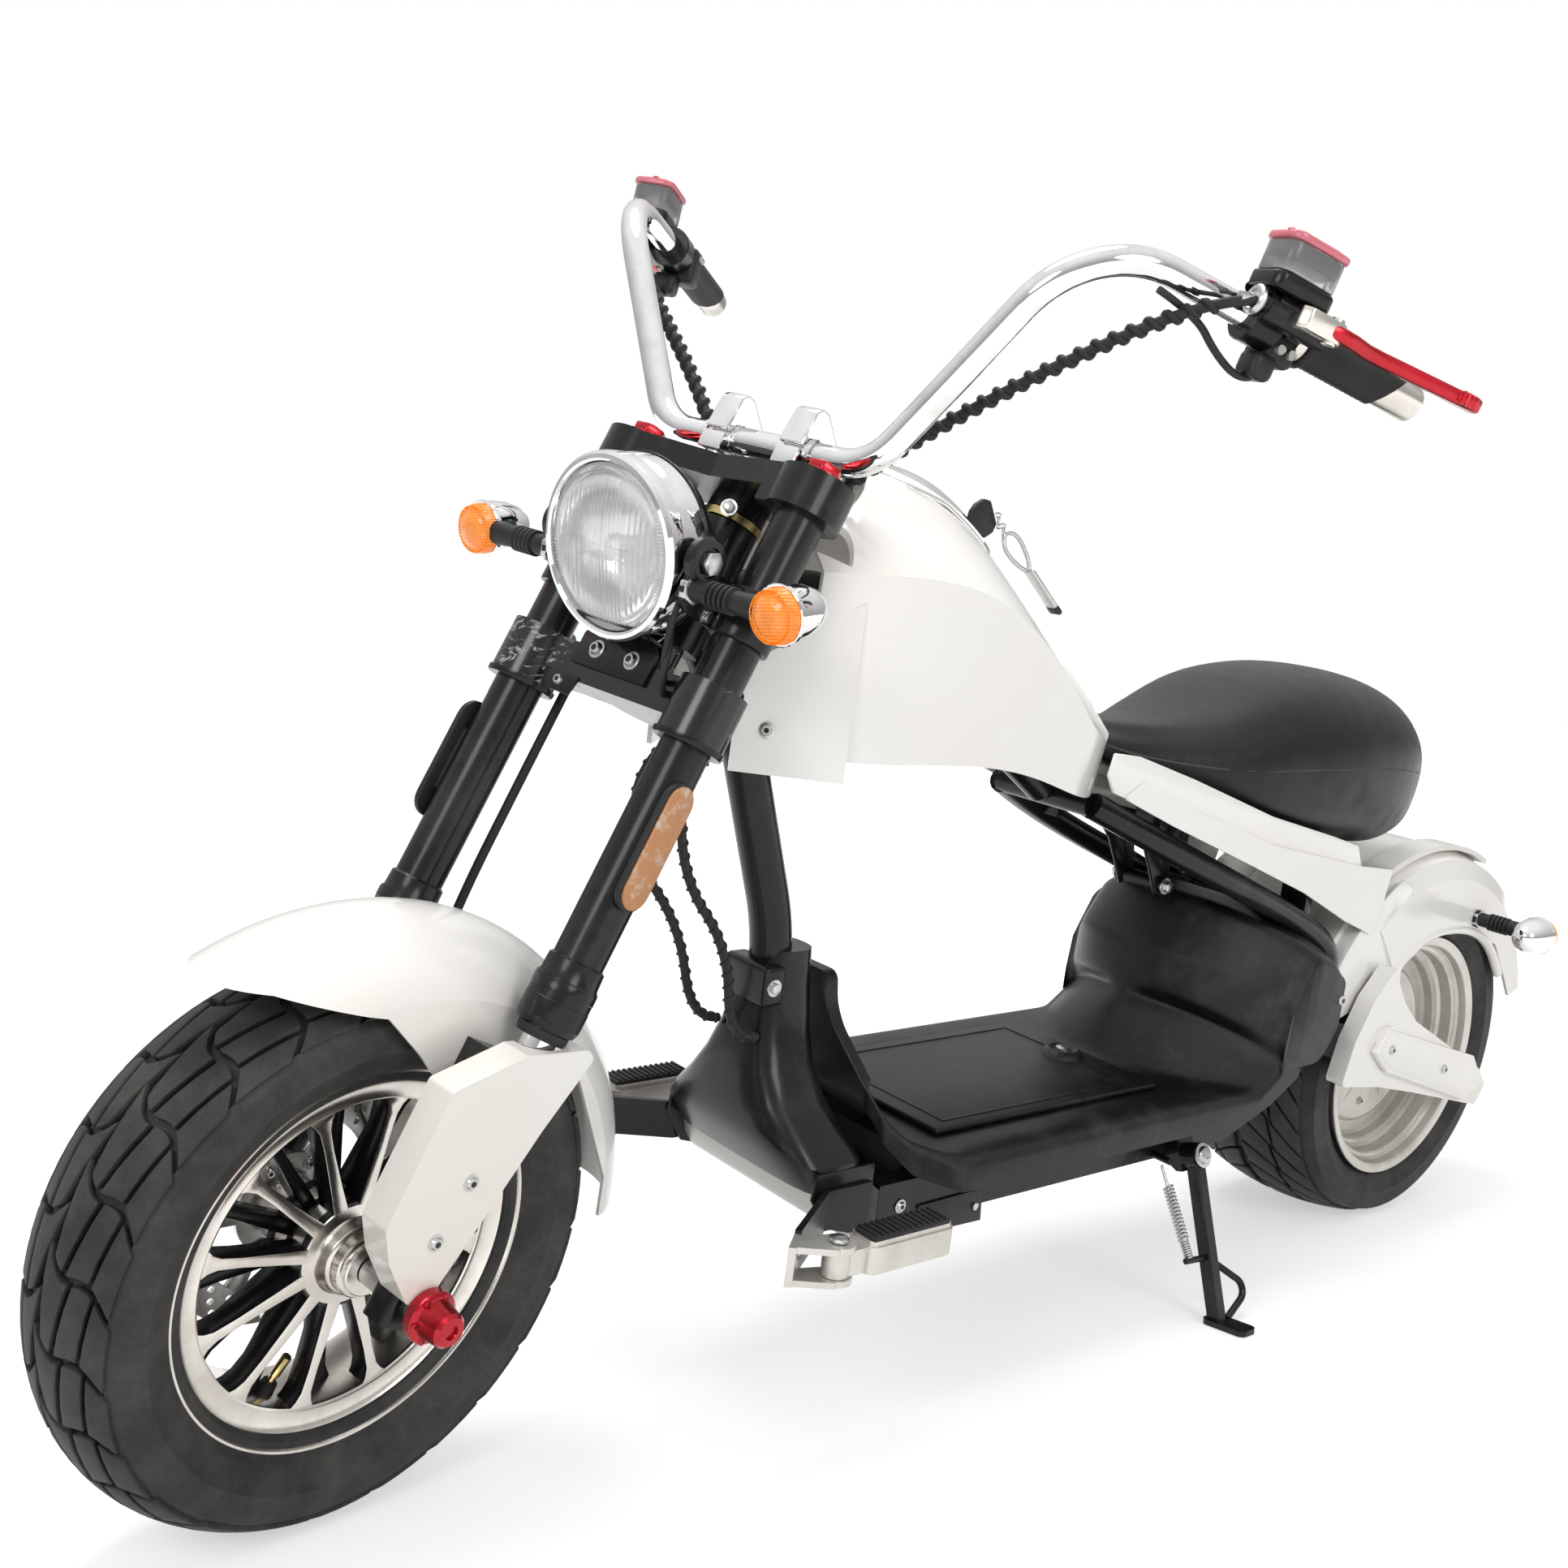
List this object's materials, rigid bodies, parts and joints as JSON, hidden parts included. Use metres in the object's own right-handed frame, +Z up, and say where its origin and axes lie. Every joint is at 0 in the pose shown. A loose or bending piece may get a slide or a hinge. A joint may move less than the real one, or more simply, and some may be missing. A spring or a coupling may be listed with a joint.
{
  "type": "electric chopper scooter",
  "caption": "Low electric chopper scooter with wide tyres, high handlebar, footboard and saddle, leaning on its side stand.",
  "frame": {"origin": "centre of the bounding box on the road, with both tyres and the side stand's foot on Z 0", "axes": "+X forward along the vehicle, +Y to the rider's left, +Z up"},
  "size_m": [2.0257, 0.9556, 1.2376],
  "materials": {
    "white_paint": "gloss",
    "black_paint": "gloss",
    "black_plastic": "textured",
    "chrome": "polished",
    "alloy": "satin",
    "steel": "satin",
    "red_alloy": "anodised gloss",
    "tyre": "matt",
    "black_rubber": "matt",
    "leather": "satin",
    "clear_glass": "clear",
    "amber": "translucent amber",
    "red_lens": "translucent red",
    "grey_paint": "metallic",
    "milky": "translucent"
  },
  "bodies": {
    "chassis": {"main_tube": "black_paint", "front_gusset": "black_paint", "nose_cover": "grey_paint", "floor_frame": "black_paint", "battery": "black_plastic", "seat_rails": "black_paint", "swingarm": "black_paint", "swingarm_covers": "white_paint", "shock_absorbers": "black_paint", "rear_caliper": "alloy", "footboard": "black_plastic", "tank_cover": "white_paint", "tank_console": "chrome", "ignition_lock": "steel", "seat": "leather", "side_covers": "white_paint", "rear_fender": "white_paint", "rear_signals": "amber", "tail_lamp": "red_lens", "peg_brackets": "black_paint", "peg_clevises": "alloy", "stand_spring": "steel", "frame_loom": "black_rubber"},
    "steering": {"fork_castings": "black_paint", "stanchions": "chrome", "fork_tubes": "black_paint", "fork_caps": "red_alloy", "upper_clamp": "black_paint", "lower_clamp": "black_paint", "clamp_bracket": "black_paint", "front_axle_bar": "steel", "axle_knobs": "red_alloy", "front_fender": "white_paint", "leg_covers": "white_paint", "headlamp_shell": "chrome", "headlamp_lens": "clear_glass", "headlamp_bracket": "black_paint", "front_signals": "amber", "reflectors": "amber", "handlebar": "chrome", "risers": "chrome", "grips": "black_rubber", "master_cylinders": "black_plastic", "reservoirs": "milky", "brake_levers": "red_alloy", "front_caliper": "alloy", "steering_hoses": "black_rubber"},
    "front_wheel": {"front_tyre": "tyre", "front_rim": "alloy", "front_disc": "steel"},
    "rear_wheel": {"rear_tyre": "tyre", "rear_rim": "alloy", "rear_disc": "steel"},
    "side_stand": {"side_stand": "black_paint"},
    "battery_lid": {"battery_lid": "black_plastic"},
    "peg_left": {"peg_left": "alloy"},
    "peg_right": {"peg_right": "alloy"}
  },
  "joints": [
    {"name": "steering_turn", "type": "hinge", "parent": "chassis", "child": "steering", "pos_m": [0.50908, -0.01421, 0.68749], "axis": [-0.429, 0.1256, 0.8945], "range_deg": [-31.6, 12.4]},
    {"name": "front_wheel_spin", "type": "hinge", "parent": "steering", "child": "front_wheel", "pos_m": [0.77151, -0.06962, 0.23982], "axis": [-0.1509, 0.9664, -0.2081], "continuous": true},
    {"name": "rear_wheel_spin", "type": "hinge", "parent": "chassis", "child": "rear_wheel", "pos_m": [-0.74193, -0.07757, 0.23874], "axis": [-0.0002, 0.9903, -0.1392], "continuous": true},
    {"name": "side_stand_fold", "type": "hinge", "parent": "chassis", "child": "side_stand", "pos_m": [-0.22103, 0.06582, 0.18034], "axis": [0.0004, 0.9677, 0.2521], "range_deg": [0, 80]},
    {"name": "battery_lid_hinge", "type": "hinge", "parent": "chassis", "child": "battery_lid", "pos_m": [0.17313, -0.07224, 0.27511], "axis": [-0.0002, 0.9903, -0.1392], "range_deg": [0, 50]},
    {"name": "left_peg_fold", "type": "hinge", "parent": "chassis", "child": "peg_left", "pos_m": [0.37799, 0.12051, 0.19485], "axis": [-0.0017, -0.1392, -0.9903], "range_deg": [0, 90]},
    {"name": "right_peg_fold", "type": "hinge", "parent": "chassis", "child": "peg_right", "pos_m": [0.37809, -0.27956, 0.25108], "axis": [0.0017, 0.1392, 0.9903], "range_deg": [0, 90]}
  ]
}
